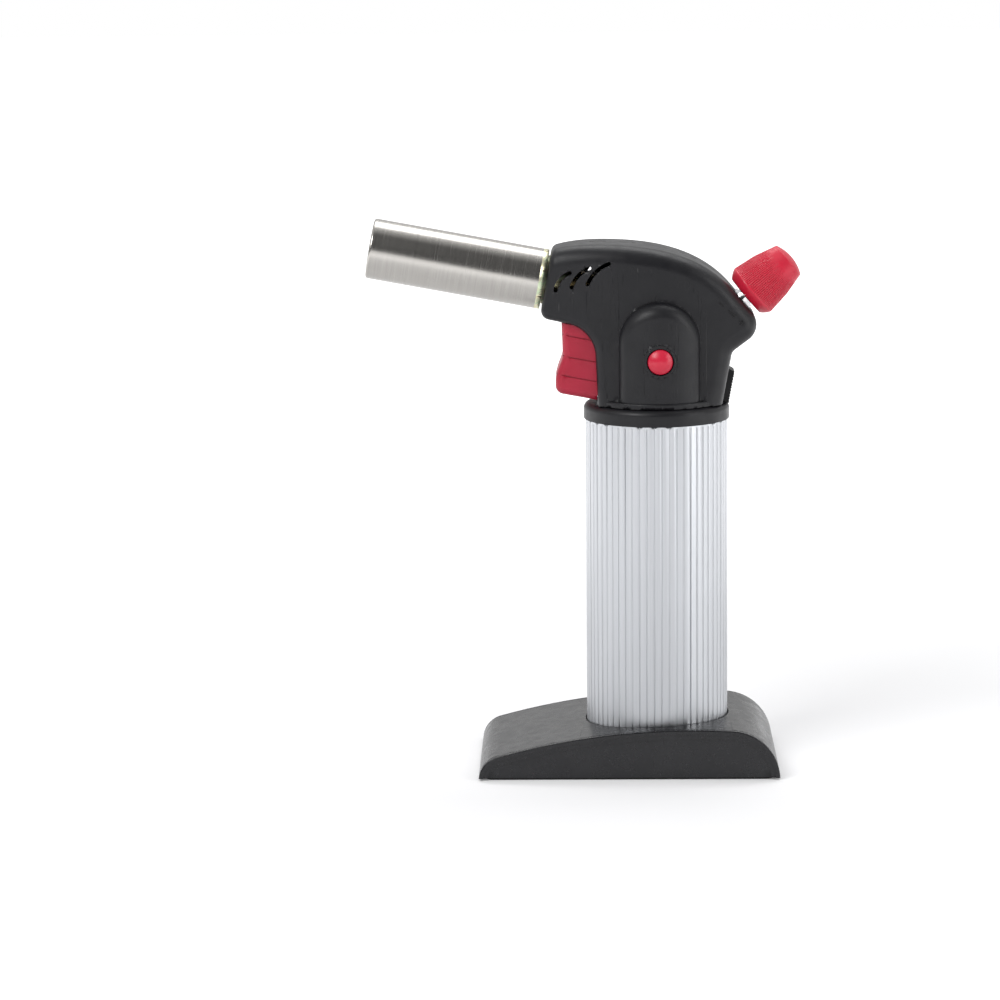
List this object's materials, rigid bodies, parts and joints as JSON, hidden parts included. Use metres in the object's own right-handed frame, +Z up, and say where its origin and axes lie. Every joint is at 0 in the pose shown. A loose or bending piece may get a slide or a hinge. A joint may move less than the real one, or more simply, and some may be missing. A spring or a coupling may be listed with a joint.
{
  "type": "butane torch",
  "caption": "Hand-held refillable butane torch with a fluted tank, red trigger and gas knob, steel flame tube and lock button, standing in its own black bench stand.",
  "frame": {"origin": "On the surface the stand rests on, on the axis of the round gas tank.", "axes": "+Z points up along the tank, -X points towards the flame tube's side, +X towards the gas knob, and -Y is the side with the round lock button."},
  "size_m": [0.1601, 0.0662, 0.2045],
  "materials": {
    "black_plastic": "satin moulded black plastic with a fine grain",
    "stand_plastic": "satin black plastic",
    "dark_plastic": "plain black plastic",
    "pad_rubber": "soft black pad",
    "tank_aluminium": "satin fluted aluminium",
    "tube_steel": "rolled stainless steel, lightly banded along its length",
    "zinc_plated": "yellowish zinc plating",
    "screw_steel": "zinc-plated screws",
    "chrome": "bright plating",
    "brass": "turned brass",
    "trigger_red": "deep red moulded plastic",
    "knob_red": "red moulded plastic",
    "button_red": "bright red moulded plastic",
    "seal_rubber": "rubber ring",
    "ceramic": "white glazed ceramic",
    "lead_insulation": "pale insulation",
    "wick_fibre": "woven wick",
    "igniter_case": "black case"
  },
  "bodies": {
    "stand": {"stand_cover": "stand_plastic", "stand_plate": "stand_plastic", "stand_pad": "pad_rubber", "stand_screws": "screw_steel"},
    "torch": {"tank_shell": "tank_aluminium", "tank_closure": "brass", "tank_seal": "seal_rubber", "wick": "wick_fibre", "fill_valve": "brass", "collar_ring": "black_plastic", "housing_left": "black_plastic", "housing_right": "black_plastic", "housing_screws": "screw_steel", "burner_tube": "tube_steel", "burner_collet": "zinc_plated", "mixing_tube": "brass", "flame_holder": "brass", "gas_jet": "brass", "gas_tube": "brass", "electrode": "chrome", "electrode_insulator": "ceramic", "ignition_lead": "lead_insulation", "valve_body": "brass", "gland_nut": "chrome", "spindle_washer": "chrome", "igniter_body": "igniter_case"},
    "trigger": {"trigger": "trigger_red", "igniter_plunger": "dark_plastic"},
    "valve_stem": {"valve_stem": "chrome"},
    "lock_button": {"lock_button": "button_red", "button_clip": "chrome"},
    "knob": {"gas_knob": "knob_red", "needle_spindle": "chrome"},
    "safety_slider": {"safety_slider": "dark_plastic", "slider_catch": "dark_plastic"}
  },
  "joints": [
    {"name": "torch_lift", "type": "slide", "parent": "stand", "child": "torch", "axis": [0, 0, 1], "range_m": [0, 0.03]},
    {"name": "trigger_pull", "type": "slide", "parent": "torch", "child": "trigger", "axis": [0.9829, 0, -0.184], "range_m": [0, 0.0055], "stiffness_N_per_m": 400, "springref_m": -0.004},
    {"name": "stem_push", "type": "slide", "parent": "torch", "child": "valve_stem", "axis": [0.9829, 0, -0.184], "range_m": [0, 0.00165]},
    {"name": "lock_press", "type": "slide", "parent": "torch", "child": "lock_button", "axis": [0, 1, 0], "range_m": [0, 0.0022], "stiffness_N_per_m": 300, "springref_m": -0.002},
    {"name": "gas_turn", "type": "hinge", "parent": "torch", "child": "knob", "pos_m": [0.0316, 0, 0.1739], "axis": [0.766, 0, 0.6428], "range_deg": [0, 270]},
    {"name": "safety_slide", "type": "slide", "parent": "torch", "child": "safety_slider", "axis": [0.184, 0, 0.9829], "range_m": [0, 0.004]}
  ],
  "couplings": [
    {"joint": "stem_push", "follows": "trigger_pull", "ratio": 0.3}
  ]
}
